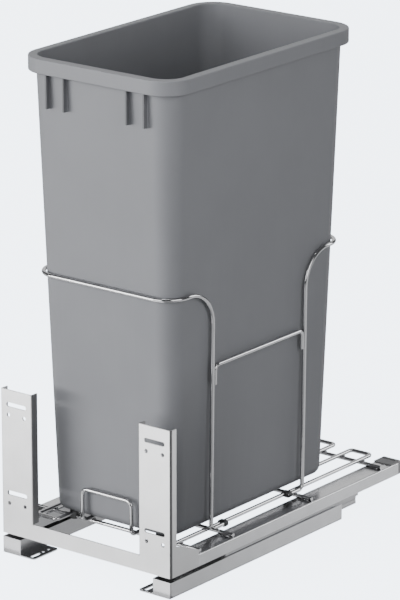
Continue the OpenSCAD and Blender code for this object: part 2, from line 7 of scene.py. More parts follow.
import bmesh
import bpy
from bpy.props import FloatProperty, FloatVectorProperty, PointerProperty
from bpy.types import Operator, Panel, PropertyGroup
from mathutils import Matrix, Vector


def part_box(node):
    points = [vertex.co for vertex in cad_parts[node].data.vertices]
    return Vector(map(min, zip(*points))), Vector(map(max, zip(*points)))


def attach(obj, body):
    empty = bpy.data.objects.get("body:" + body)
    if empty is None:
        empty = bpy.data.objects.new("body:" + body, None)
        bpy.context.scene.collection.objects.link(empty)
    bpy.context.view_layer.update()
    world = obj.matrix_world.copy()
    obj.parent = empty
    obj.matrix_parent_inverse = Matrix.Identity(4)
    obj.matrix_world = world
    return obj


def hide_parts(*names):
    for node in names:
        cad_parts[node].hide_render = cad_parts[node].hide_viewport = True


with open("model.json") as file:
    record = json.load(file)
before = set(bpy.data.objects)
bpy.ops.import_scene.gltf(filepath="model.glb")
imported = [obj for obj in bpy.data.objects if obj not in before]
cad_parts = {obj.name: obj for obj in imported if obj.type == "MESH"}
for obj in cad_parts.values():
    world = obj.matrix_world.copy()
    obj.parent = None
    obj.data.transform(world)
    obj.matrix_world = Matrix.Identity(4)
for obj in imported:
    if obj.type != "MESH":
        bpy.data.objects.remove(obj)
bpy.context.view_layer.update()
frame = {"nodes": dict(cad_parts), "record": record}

bl_info = {
    "name": "Pull-out Bin Frame",
    "version": (1, 0, 0),
    "blender": (4, 5, 0),
    "location": "3D View > Sidebar > Bin Frame",
    "description": "Models the bin, wire cradle, slides and door bracket over the packed frame",
    "category": "Object",
}

MM = 0.001
SIDES = ("left", "right")
CROSSES = ("front", "second", "third", "rear")
CORNER_STEPS = 12
FOLD_STEPS = 5
WIRE_SIDES = 20
BEND_STEP = radians(9)  # of one step round a wire's bend
BEND_LEAST = 4  # steps of the smallest bend
LEAN = 100  # rise of a wire's upright for each unit that it leans
SAME = 0.02 * MM  # lengths that differ by less are the same
WIRE_SEAM = 0.05 * MM  # reach of a closed wire's seam
SLIVER = 0.002 * MM  # shorter edges are dissolved
HAIR = 0.01 * MM  # by which a round end's radius is less than half the width


# Settings

def length(name, text, mm):
    """A length that a user may change, given in millimetres and kept in metres."""
    return FloatProperty(name=name, description=text, default=mm * MM, min=0,
                         unit="LENGTH", precision=4)


def colour(name, text, default):
    """A linear colour that a user may change."""
    return FloatVectorProperty(name=name, description=text, default=default,
                               subtype="COLOR", size=3, min=0, max=1)


class BinSizes(PropertyGroup):
    """Sizes of the moulded bin."""
    wall: length("Wall", "Thickness of the bin's wall", 2.4)
    floor: length("Floor", "Thickness of the bin's floor", 3)
    rim_reach: length("Rim reach", "How far the rim stands out past the wall", 9)
    skirt: length("Skirt", "Height of the rim's skirt", 18)
    taper_side: length("Side taper", "How far a side wall leans in at the foot", 14.5)
    taper_end: length("End taper", "How far an end wall leans in at the foot", 19.5)
    rim_corner: length("Rim corner", "Corner radius of the rim", 36)
    foot_corner: length("Foot corner", "Corner radius of the wall at the foot", 22)
    foot_round: length("Foot round", "Round along the bottom edge", 10)
    lip_round: length("Lip round", "Round along the edges of the rim", 1.3)
    rib_inner: length("Inner ribs", "From the middle to the inner ribs", 46)
    rib_outer: length("Outer ribs", "From the middle to the outer ribs", 71.5)
    rib_width: length("Rib width", "Thickness of a rib", 2.6)
    rib_length: length("Rib length", "Length of a rib below the skirt", 41)
    rib_cut: length("Rib cut", "How much shorter a rib is at its outer edge", 0.8)
    rib_set: length("Rib set", "Distance of a rib's edge behind the face of the rim", 2.8)


class WireSizes(PropertyGroup):
    """Sizes of the wire cradle."""
    loop_bend: length("Loop bend", "Bend radius at the corners of the rack loops", 4.5)
    stop_corner: length("Stop corner", "Bend radius at the top corners of the front stop", 8)
    stop_bend: length("Stop bend", "Bend radius at the foot of the raised front stop", 6)
    hoop_corner: length("Hoop corner", "Radius of the hoops' corners", 30)
    shoulder: length("Shoulder", "Radius of the shoulder where a hoop turns down", 43)
    hoop_foot: length("Hoop foot", "Length of the turned foot of an upright", 27)
    foot_bend: length("Foot bend", "Bend radius at the foot of an upright", 7)
    bar_bend: length("Bar bend", "Bend radius of the side bars", 6)
    cut_round: length("Cut ends", "Round at the cut ends of the wires", 0.5)
    weld: length("Weld bead", "Radius of a weld bead", 1.6)
    clip: length("Clip", "Length of a hoop clip", 5.5)


class SheetSizes(PropertyGroup):
    """Sizes of the formed steel sheet."""
    slide_sheet: length("Slide sheet", "Sheet thickness of the slides", 1.5)
    bracket_sheet: length("Bracket sheet", "Sheet thickness of the door bracket", 1.8)
    fold: length("Fold", "Outer radius of the folds", 1.95)
    edge: length("Edge", "Round along the cut edges of the sheet", 0.22)
    upright: length("Upright", "Width of a bracket upright", 47)
    bar: length("Bar", "Height of the bar between the uprights", 19.5)
    flange: length("Flange", "Depth of the bracket's flanges", 11)
    gusset: length("Gusset", "Height of the side gusset behind the flange", 37)
    gusset_end: length("Gusset end", "Height of the gusset at its rear edge", 21)
    foot: length("Foot", "Length of a floor foot along its runner", 46)


class Finishes(PropertyGroup):
    """Colours of the finishes and of the studio."""
    bin: colour("Bin", "Moulded plastic of the bin", (0.254, 0.2595, 0.278))
    chrome: colour("Chrome", "Plating of the wires", (0.5, 0.5, 0.508))
    zinc: colour("Zinc", "Plating of the slides", (0.58, 0.58, 0.59))
    bracket: colour("Bracket", "Plating of the door bracket", (0.8, 0.8, 0.805))
    black: colour("Black plastic", "Clips and bumpers", (0.018, 0.018, 0.019))
    cap: colour("Caps", "Plastic of the end caps", (0.23, 0.23, 0.236))
    floor: colour("Floor", "Studio floor", (0.79, 0.868, 0.965))
    board: colour("Boards", "Boards that the metal mirrors", (0.86, 0.868, 0.88))


# Modelling, as by hand

def clear():
    """Leaves edit mode and selects nothing."""
    if bpy.context.mode != "OBJECT":
        bpy.ops.object.mode_set(mode="OBJECT")
    bpy.ops.object.select_all(action="DESELECT")


def take(*objs):
    """Selects these objects alone, the last one active."""
    clear()
    for obj in objs:
        obj.select_set(True)
    bpy.context.view_layer.objects.active = objs[-1]


def select_none():
    """Selects nothing of the mesh."""
    bpy.ops.mesh.select_all(action="DESELECT")


def select_every():
    """Selects all of the mesh."""
    bpy.ops.mesh.select_all(action="SELECT")


def edit(obj):
    """Opens a mesh in edit mode with nothing selected."""
    take(obj)
    bpy.ops.object.mode_set(mode="EDIT")
    select_none()


def face_out():
    """Turns every face of the mesh outwards."""
    select_every()
    bpy.ops.mesh.normals_make_consistent(inside=False)


def settle():
    """Applies the selected object's place, turn and scale to its mesh."""
    bpy.ops.object.transform_apply()


def pick(obj, kind, test):
    """Selects only the vertices, edges or faces that pass the test."""
    select_none()
    bpy.ops.mesh.select_mode(type=kind[:-1].upper())
    bm = bmesh.from_edit_mesh(obj.data)
    chosen = [e for e in getattr(bm, kind) if test(e)]
    if not chosen:
        raise RuntimeError(f"nothing to select in {obj.name}")
    for e in chosen:
        e.select_set(True)
    bm.select_flush_mode()
    bmesh.update_edit_mesh(obj.data)


def middle(e):
    """Place of a vertex, or middle of an edge."""
    return e.co if isinstance(e, bmesh.types.BMVert) else (e.verts[0].co + e.verts[1].co) / 2


def along(e, axis):
    """True for an edge that runs along an axis, 0 to 2."""
    d = e.verts[1].co - e.verts[0].co
    return abs(d[axis]) > 0.99 * d.length


def lies(e, **at):
    """Whether a vertex, or an edge's middle, has these coordinates."""
    return all(abs(getattr(middle(e), axis) - value) < SAME for axis, value in at.items())


def shift(obj, kind, test, offset):
    """Moves the vertices or edges that pass the test."""
    pick(obj, kind, test)
    bpy.ops.transform.translate(value=offset)


def drop_faces(obj, test):
    """Deletes the faces that pass the test."""
    pick(obj, "faces", test)
    bpy.ops.mesh.delete(type="FACE")


def round_edges(obj, test, width, steps):
    """Rounds the edges that pass the test."""
    pick(obj, "edges", test)
    bpy.ops.mesh.bevel(offset=width, segments=steps)


def pull_edges(obj, test, offset):
    """Extrudes the edges that pass the test."""
    pick(obj, "edges", test)
    bpy.ops.mesh.extrude_edges_move(TRANSFORM_OT_translate={"value": offset})


def pull(offset):
    """Extrudes the selected faces."""
    bpy.ops.mesh.extrude_region_move(TRANSFORM_OT_translate={"value": offset})


def slice_at(spot, across):
    """Divides the mesh by a plane through a spot, across a direction."""
    select_every()
    bpy.ops.mesh.bisect(plane_co=spot, plane_no=across)


def empty_mesh():
    """An object with an empty mesh, open in edit mode."""
    clear()
    bpy.ops.mesh.primitive_plane_add(size=1)
    bpy.ops.object.mode_set(mode="EDIT")
    select_every()
    bpy.ops.mesh.delete(type="VERT")
    return bpy.context.object


def block(lo, hi):
    """A cube between two corners, with its place in its mesh."""
    lo, hi = Vector(lo), Vector(hi)
    clear()
    bpy.ops.mesh.primitive_cube_add(size=1, location=(lo + hi) / 2)
    obj = bpy.context.object
    obj.scale = hi - lo
    settle()
    return obj


def modify(obj, kind, **settings):
    """Adds a modifier and applies it."""
    take(obj)
    m = obj.modifiers.new(kind, kind)
    for key, value in settings.items():
        setattr(m, key, value)
    bpy.ops.object.modifier_apply(modifier=m.name)


def soften(obj, width, steps=2, angle=35):
    """Rounds every edge sharper than the angle."""
    modify(obj, "BEVEL", width=width, segments=steps, limit_method="ANGLE",
           angle_limit=radians(angle))


def thicken(obj, sheet):
    """Gives a sheet its thickness, inwards from its outer face."""
    edit(obj)
    face_out()
    modify(obj, "SOLIDIFY", thickness=sheet, offset=-1, use_even_offset=True)


def joined(*objs):
    """Joins pieces into the last one."""
    take(*objs)
    bpy.ops.object.join()
    return bpy.context.object


def remove(obj):
    """Deletes an object."""
    take(obj)
    bpy.ops.object.delete()


def cut_with(obj, cutters):
    """Cuts the cutters' shapes out of a piece and removes them."""
    cutter = cutters[0]
    if len(cutters) > 1:
        joined(*cutters[1:], cutter)
    modify(obj, "BOOLEAN", object=cutter, operation="DIFFERENCE", solver="EXACT")
    remove(cutter)


def twin(obj):
    """A copy with a mesh of its own, selected alone."""
    take(obj)
    bpy.ops.object.duplicate()
    return bpy.context.object


def copy_at(obj, offset):
    """A copy moved by the offset."""
    copy = twin(obj)
    bpy.ops.transform.translate(value=offset)
    settle()
    return copy


def mirrored(obj):
    """A copy on the other side of the middle, right way out."""
    copy = twin(obj)
    bpy.ops.transform.resize(value=(-1, 1, 1), center_override=(0, 0, 0))
    settle()
    edit(copy)
    face_out()
    clear()
    return copy


def ring(centre, half, r):
    """Adds a level rounded rectangle to the mesh being edited and leaves it selected."""
    select_none()
    bpy.ops.mesh.primitive_plane_add(size=1, location=centre)
    bpy.ops.transform.resize(value=(2 * half[0], 2 * half[1], 1), center_override=centre)
    bpy.ops.mesh.bevel(offset=r, segments=CORNER_STEPS, affect="VERTICES", clamp_overlap=False)


def loft(rings):
    """A closed skin through rounded rectangles, given as (centre, half sizes, radius)."""
    obj = empty_mesh()
    for one in rings:
        ring(*one)
        bpy.ops.object.vertex_group_assign_new()
        bpy.ops.mesh.delete(type="ONLY_FACE")
    names = [g.name for g in obj.vertex_groups]
    bpy.ops.mesh.select_mode(type="VERT")
    for pair in [names[:1], *zip(names, names[1:]), names[-1:]]:
        select_none()
        for name in pair:
            bpy.ops.object.vertex_group_set_active(group=name)
            bpy.ops.object.vertex_group_select()
        if len(pair) == 1:
            bpy.ops.mesh.edge_face_add()
        else:
            bpy.ops.mesh.bridge_edge_loops()
    face_out()
    if bmesh.from_edit_mesh(obj.data).calc_volume(signed=True) < 0:
        bpy.ops.mesh.flip_normals()
    clear()
    obj.vertex_groups.clear()
    return obj


def prism(centre, half, r, axis, depth):
    """A block with four rounded edges, whose depth lies along Y or Z."""
    obj = empty_mesh()
    ring((0, 0, -depth / 2), half, r)
    pull((0, 0, depth))
    face_out()
    clear()
    obj.rotation_euler = (pi / 2, 0, 0) if axis == "Y" else (0, 0, 0)
    obj.location = centre
    take(obj)
    settle()
    return obj


def punch(centre, half, axis, depth):
    """A cutter for a round hole, or for a slot with round ends."""
    return prism(centre, half, min(half) - HAIR, axis, depth)


def bend_wire(points, bends, r, closed):
    """A wire through corner points: a disc, extruded along the runs and spun round the bends."""
    points = [Vector(p) for p in points]
    here = points[0]
    way = (points[1] - here).normalized()
    clear()
    bpy.ops.mesh.primitive_circle_add(vertices=WIRE_SIDES, radius=r, fill_type="NGON", location=here,
                                      rotation=way.to_track_quat("Z", "Y").to_euler())
    obj = bpy.context.object
    settle()
    bpy.ops.object.mode_set(mode="EDIT")
    bpy.ops.mesh.select_mode(type="FACE")
    select_every()
    for corner, after, bend in zip(points[1:], points[2:], bends):
        d0, d1 = (corner - here).normalized(), (after - corner).normalized()
        turn = d0.angle(d1)
        stop = corner - d0 * bend * tan(turn / 2)
        inward = (d1 - d0 * d0.dot(d1)).normalized()
        pull(stop - here)
        bpy.ops.mesh.spin(steps=max(BEND_LEAST, round(turn / BEND_STEP)), angle=-turn,
                          center=stop + inward * bend, axis=d0.cross(d1).normalized())
        here = corner + d1 * bend * tan(turn / 2)
    pull(points[-1] - here)
    pick(obj, "faces", lambda f: len(f.verts) == WIRE_SIDES)
    if closed:
        bpy.ops.mesh.delete(type="FACE")
        select_every()
        bpy.ops.mesh.remove_doubles(threshold=WIRE_SEAM)
    else:
        bpy.ops.mesh.region_to_loop()
        bpy.ops.mesh.bevel(offset=bpy.context.scene.wire_sizes.cut_round, segments=2)
    face_out()
    clear()
    return obj


def paint(obj, slot):
    """Gives a piece the finish of a slot, and no other."""
    obj.data.materials.clear()
    obj.data.materials.append(finish(slot))


def place(obj, name, body, slot, *nodes, angle=32):
    """Names a finished piece, smooths and paints it, and sets it on its body."""
    edit(obj)
    select_every()
    bpy.ops.mesh.dissolve_degenerate(threshold=SLIVER)
    take(obj)
    bpy.ops.object.shade_smooth_by_angle(angle=radians(angle))
    modify(obj, "WEIGHTED_NORMAL", keep_sharp=True)
    obj.name = obj.data.name = name
    paint(obj, slot)
    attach(obj, body)
    if nodes:
        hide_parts(*nodes)
    clear()


def place_pair(obj, node, kind, body, slot):
    """Places a right-hand piece, and its mirror image on the left."""
    other = mirrored(obj)
    for side, one in (("right", obj), ("left", other)):
        place(one, f"{side}_{node}_{kind}", body, slot, f"{side}_{node}")


# Finishes

class Value:
    """A shader socket that takes part in Python sums, each of which adds a Math node."""

    def __init__(self, paint, socket):
        self.paint = paint
        self.socket = socket

    def sum(self, operation, a, b):
        """The result of a Math node on two values."""
        return self.paint.node("Math", {0: a, 1: b}, operation=operation)

    def __add__(self, other):
        return self.sum("ADD", self, other)

    __radd__ = __add__

    def __sub__(self, other):
        return self.sum("SUBTRACT", self, other)

    def __rsub__(self, other):
        return self.sum("SUBTRACT", other, self)

    def __mul__(self, other):
        return self.sum("MULTIPLY", self, other)

    __rmul__ = __mul__


class Paint:
    """A material under construction."""

    def __init__(self, name, **constants):
        self.material = bpy.data.materials.new(name)
        self.material.use_nodes = True
        self.tree = self.material.node_tree
        self.shader = next(n for n in self.tree.nodes if n.type == "BSDF_PRINCIPLED")
        self.set(**constants)
        self.place = self.node("TexCoord", {}, out="Object")

    def node(self, kind, inputs, out=0, **settings):
        """Adds a node: its settings first, then the values or links of its sockets."""
        made = self.tree.nodes.new("ShaderNode" + kind)
        for key, value in settings.items():
            setattr(made, key, value)
        for key, value in inputs.items():
            self.feed(made.inputs[key], value)
        return Value(self, made.outputs[out])

    def feed(self, socket, value):
        """Links a value to a socket, or sets the socket's own."""
        if isinstance(value, Value):
            self.tree.links.new(value.socket, socket)
        else:
            socket.default_value = value

    def noise(self, scale, detail=3, rough=0.55, stretch=(1, 1, 1)):
        """Noise on the piece's own coordinates: its cells a metre, and its layers."""
        spot = self.node("Mapping", {"Vector": self.place, "Scale": stretch})
        return self.node("TexNoise", {"Vector": spot, "Scale": scale, "Detail": detail, "Roughness": rough})

    def band(self, value, low, high):
        """0 below low, 1 above high, smooth between."""
        return self.node("MapRange", {"Value": value, "From Min": low, "From Max": high},
                         interpolation_type="SMOOTHSTEP")

    def outside(self, value, low, high):
        """0 within low of the middle, 1 further out than high, smooth between."""
        return self.band(value * value, low ** 2, high ** 2)

    def along(self, axis):
        """A coordinate of the piece, in metres."""
        return self.node("SeparateXYZ", {0: self.place}, out=axis)

    def fade(self, value, stops):
        """A tone that runs through stops, each a value from 0 to 1 and its tone."""
        faded = self.node("ValToRGB", {0: value})
        ramp = faded.socket.node.color_ramp.elements
        while len(ramp) < len(stops):
            ramp.new(0.5)
        for stop, (at, tone) in zip(ramp, stops):
            stop.position = at
            stop.color = (tone, tone, tone, 1)
        return faded

    def mix(self, factor, a, b):
        """A colour between two colours."""
        rgb = [c if isinstance(c, Value) else (*c, 1) for c in (a, b)]
        return self.node("Mix", {0: factor, 6: rgb[0], 7: rgb[1]}, out=2, data_type="RGBA")

    def bump(self, value, depth, strength):
        """A normal raised by a value."""
        return self.node("Bump", {"Height": value, "Distance": depth, "Strength": strength})

    def set(self, **inputs):
        """Feeds the shader's sockets, and gives the material."""
        for key, value in inputs.items():
            self.feed(self.shader.inputs[key.replace("_", " ")], value)
        return self.material


def shade(rgb, k):
    """A colour made lighter or darker."""
    return tuple(min(1.0, c * k) for c in rgb)


def moulded_grey(rgb):
    """Moulded plastic: fine spark grain, flow marks, scuffs near the foot, and painted shade on the ribs and
    along the bottom edge.
    """
    bin_front = 0.03  # from the frame's middle to the bin's
    p = Paint("moulded_grey", Specular_IOR_Level=0.4)
    grain = p.noise(1500, 2)
    cloud = p.noise(11, 4)
    flow = p.noise(24, stretch=(1, 1, 0.12))
    scratch = p.noise(150, 2, rough=0.4, stretch=(1, 1, 0.03))
    high = p.along("Z")
    out = p.along("Y") + bin_front
    low = 1 - p.band(high, 0.06, 0.2)
    # painted shade: the ribs under the rim made darker, as if shaded
    rib = p.outside(out, 0.1718, 0.1728) * p.band(high, 0.54, 0.546) * (1 - p.band(high, 0.586, 0.588))
    scuff = p.band(scratch, 0.63, 0.72) * (0.12 + 0.5 * low)
    tone = p.mix(p.band(cloud, 0.3, 0.7), shade(rgb, 0.965), shade(rgb, 1.03))
    tone = p.mix(0.35 * p.band(flow, 0.4, 0.75), tone, shade(rgb, 1.05))
    tone = p.mix(0.4 * scuff, tone, shade(rgb, 1.3))
    # painted shade on the ribs
    tone = p.mix(rib, tone, shade(rgb, 0.58))
    # painted shade: darker along the rounded bottom edge, where it turns away from the light
    tone = p.mix(0.6 - 0.6 * p.band(high, 0.051, 0.063), tone, shade(rgb, 0.3))
    return p.set(Base_Color=tone, Roughness=0.42 + 0.10 * cloud + 0.15 * scuff,
                 Normal=p.bump(grain, 0.10 * MM, 0.35))


def bright_chrome(rgb):
    """Chrome plate over drawn wire: near mirror, with faint waves and a dull bloom."""
    p = Paint("bright_chrome", Metallic=1.0)
    wave = p.noise(160, 2)
    bloom = p.noise(30, 4)
    pit = p.band(p.noise(900, 1), 0.70, 0.78)
    tone = p.mix(p.band(bloom, 0.35, 0.75), rgb, shade(rgb, 0.93))
    return p.set(Base_Color=tone, Roughness=0.07 + 0.09 * p.band(bloom, 0.45, 0.8) + 0.10 * pit,
                 Normal=p.bump(wave, 0.05 * MM, 0.25))


def rolled_zinc(name, rgb, stretch, rough, painted_light=None):
    """Zinc-plated cold-rolled sheet: fine rolling lines, a cloudy spangle and small rub marks."""
    p = Paint(name, Metallic=1.0)
    lines = p.noise(700, stretch=stretch)
    cloud = p.noise(38, 5, rough=0.6)
    rub = p.band(p.noise(90, 2, stretch=stretch), 0.64, 0.72)
    tone = p.mix(p.band(cloud, 0.3, 0.72), shade(rgb, 0.95), shade(rgb, 1.04))
    tone = p.mix(0.35 * lines, tone, shade(rgb, 0.86))
    tone = p.mix(0.4 * rub, tone, shade(rgb, 1.12))
    # painted light and shade, for a finish that is given it
    if painted_light:
        tone = painted_light(p, tone, rgb)
    return p.set(Base_Color=tone, Roughness=rough + 0.10 * lines + 0.06 * cloud - 0.05 * rub,
                 Normal=p.bump(lines, 0.03 * MM, 0.3))


def bracket_painted_light(p, tone, rgb):
    """The bracket's plating with painted light: lighter towards the top and darker towards the bottom,
    painted shade on the inner flanges and a painted dark reflection along the outer folds.
    """
    x, front, high = p.along("X"), -1 * p.along("Y"), p.along("Z")
    # painted light: lighter towards the top, darker towards the bottom
    tone = p.mix(0.6 * p.band(high, 0.06, 0.24), tone, shade(rgb, 1.25))
    tone = p.mix(0.6 - 0.6 * p.band(high, 0.0, 0.13), tone, shade(rgb, 0.6))
    # painted shade on the inner flanges, and a painted dark reflection along the outer folds
    flange = (1 - p.outside(x, 0.0826, 0.0836)) * (1 - p.band(front, 0.2292, 0.2297))
    fold_painted_reflection = p.outside(x, 0.1254, 0.1258) * p.band(front, 0.2264, 0.2272)
    return p.mix(0.84 * flange + fold_painted_reflection, tone, shade(rgb, 0.2))


def dark_moulding(name, rgb, rough, lift):
    """Dark plastic or rubber with a fine grain and grey dust in its hollows."""
    p = Paint(name)
    grain = p.noise(1800, 2)
    dust = p.band(p.noise(120, 4), 0.55, 0.75)
    tone = p.mix(0.25 * dust, rgb, shade(rgb, 3.2))
    return p.set(Base_Color=tone, Roughness=rough + 0.12 * dust, Normal=p.bump(grain, 0.08 * MM, lift))


def cap_grey(rgb):
    """Grey plastic of the end caps, with a painted highlight on the outer side."""
    p = Paint("cap_grey", Specular_IOR_Level=0.25)
    grain = p.noise(1600, 2)
    cloud = p.noise(60)
    x = p.along("X")
    tone = p.mix(p.band(cloud, 0.35, 0.7), shade(rgb, 0.94), shade(rgb, 1.06))
    # painted highlight: the outer side made paler, as if lit
    tone = p.mix(p.outside(x, 0.1264, 0.1268), tone, shade(rgb, 2.3))
    return p.set(Base_Color=tone, Roughness=0.55 + 0.1 * cloud, Normal=p.bump(grain, 0.08 * MM, 0.3))


def polished_ball(rgb):
    """Ground bearing steel under a film of grease."""
    p = Paint("polished_ball", Metallic=1.0)
    film = p.noise(400)
    tone = p.mix(p.band(film, 0.4, 0.8), rgb, shade(rgb, 0.85))
    return p.set(Base_Color=tone, Roughness=0.08 + 0.2 * p.band(film, 0.5, 0.8))


def pale_sheet(name, rgb, glow, fades=()):
    """Studio floor or board, pale and almost even, lit through, and dimmer away from the object."""
    p = Paint(name, Specular_IOR_Level=0.1, Emission_Color=(*rgb, 1), Emission_Strength=glow)
    cloud = p.noise(3, 2)
    tone = p.mix(cloud, shade(rgb, 0.995), shade(rgb, 1.005))
    light = rgb
    for axis, way, start, stops in fades:
        light = p.mix(p.fade(way * p.along(axis) - start, stops), (0, 0, 0), light)
        p.set(Emission_Color=light)
    return p.set(Base_Color=tone, Roughness=0.8 + 0.05 * cloud)


_made = {}


def finish(name):
    """A finish by its material slot, made once."""
    if name not in _made:
        c = bpy.context.scene.finishes
        lengthwise, upright = (1, 0.015, 1), (1, 1, 0.015)
        makers = {
            "bin_plastic": (moulded_grey, c.bin),
            "chrome_wire": (bright_chrome, c.chrome),
            "slide_steel": (rolled_zinc, "slide_zinc", c.zinc, lengthwise, 0.16),
            # the bracket's zinc, with painted light and shade
            "bracket_steel": (rolled_zinc, "bracket_zinc", c.bracket, upright, 0.38, bracket_painted_light),
            # the middle runners' zinc made darker: painted shade in the gap under the carrier rails
            "runner_shaded_steel": (rolled_zinc, "runner_zinc", shade(c.zinc, 0.72), lengthwise, 0.3),
            "cage_steel": (rolled_zinc, "cage_sheet", shade(c.zinc, 0.8), (1, 0.03, 1), 0.32),
            "bearing_steel": (polished_ball, c.chrome),
            "bumper_rubber": (dark_moulding, "bumper_rubber", c.black, 0.7, 0.5),
            "clip_plastic": (dark_moulding, "clip_plastic", shade(c.black, 3.2), 0.36, 0.3),
            "cap_plastic": (cap_grey, c.cap),
            "floor": (pale_sheet, "pale_floor", c.floor, 5.4),
            "front_board": (pale_sheet, "front_board", c.board, 3.3, (
                ("Y", -1, 0, ((0.27, 0.72), (0.32, 0.38), (0.8, 0.8), (0.95, 0.19))),
                ("X", -1, 0, ((0.1, 1.0), (0.35, 0.6))))),
            "side_board": (pale_sheet, "side_board", c.board, 1.08, (
                ("X", 1, 0, ((0.215, 1.0), (0.255, 0.7))),
                ("Y", 1, -0.3, ((0.1, 0.5), (0.5, 1.0))))),
            "under_board": (pale_sheet, "under_board", c.board, 0.55),
            "rear_board": (pale_sheet, "rear_board", c.board, 4.4),
            "dark_card": (pale_sheet, "dark_card", c.board, 0.03),
        }
        maker, *values = makers[name]
        _made[name] = maker(*values)
    return _made[name]


# Pieces

class BINFRAME_OT_bin(Operator):
    """Models the tapered bin with its skirted rim and the ribs under it"""
    bl_idname = "binframe.bin"
    bl_label = "Bin"

    def execute(self, context):
        s = context.scene.bin_sizes
        draft = 0.2 * MM
        turns = [radians(a) for a in (90, 70, 50, 30, 12, 0)]
        lo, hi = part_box("bin")
        mid = (lo + hi) / 2
        rim = (hi - lo).xy / 2
        top = rim - Vector((s.rim_reach, s.rim_reach))
        base = top - Vector((s.taper_side, s.taper_end))
        inside = base - Vector((s.wall, s.wall))
        wall_corner = s.rim_corner - s.rim_reach
        under = hi.z - s.skirt

        def level(z, half, inset, r):
            """A ring at a height, inset from a rounded rectangle."""
            return ((mid.x, mid.y, z), (half.x - inset, half.y - inset), r - inset)

        def rounded_foot(z, half, r, foot):
            """Rings from the flat of the foot up to the wall."""
            return [level(z + foot * (1 - sin(a)), half, foot * (1 - cos(a)), r) for a in turns]

        rings = rounded_foot(lo.z, base, s.foot_corner, s.foot_round)
        rings += [level(hi.z - s.wall, top, 0, wall_corner)]
        rings += [level(z, rim, s.wall, s.rim_corner) for z in (hi.z - s.wall - draft, under)]
        rings += [level(z, rim, 0, s.rim_corner) for z in (under + draft, hi.z - draft)]
        rings += [level(hi.z, top, s.wall, wall_corner)]
        rings += rounded_foot(lo.z + s.floor, inside, s.foot_corner - s.wall,
                              s.foot_round - s.wall / 2)[::-1]
        shell = loft(rings)
        soften(shell, s.lip_round, steps=3, angle=50)
        ribs = self.ribs(s, mid, rim, base, top, lo.z, hi.z)
        place(joined(ribs, shell), "bin_moulding", "bin", "bin_plastic", "bin")
        return {"FINISHED"}

    def ribs(self, s, mid, rim, base, top, foot_z, rim_z):
        """Ribs under the rim of both end walls, each cut back at its lower end."""
        edge_round = 0.6 * MM
        low = rim_z - s.skirt - s.rib_length
        share = (low - foot_z) / (rim_z - foot_z)
        root = base.y + (top.y - base.y) * share - s.wall / 2
        back = mid.y - root
        half = s.rib_width / 2
        face = mid.y - rim.y + s.rib_set
        rib = block((s.rib_inner - half, face, low), (s.rib_inner + half, back, rim_z - s.wall / 2))
        edit(rib)
        shift(rib, "edges", lambda e: lies(e, y=face, z=low), (0, 0, s.rib_cut))
        shift(rib, "edges", lambda e: along(e, 0) and lies(e, y=back) and middle(e).z > low + MM,
              (0, root - top.y + s.wall / 2, 0))
        round_edges(rib, lambda e: lies(e, y=face) and not along(e, 0), edge_round, 3)
        clear()
        pair = joined(copy_at(rib, (s.rib_outer - s.rib_inner, 0, 0)), rib)
        front = joined(mirrored(pair), pair)
        rear = twin(front)
        bpy.ops.transform.rotate(value=pi, orient_axis="Z", center_override=(mid.x, mid.y, 0))
        settle()
        return joined(rear, front)


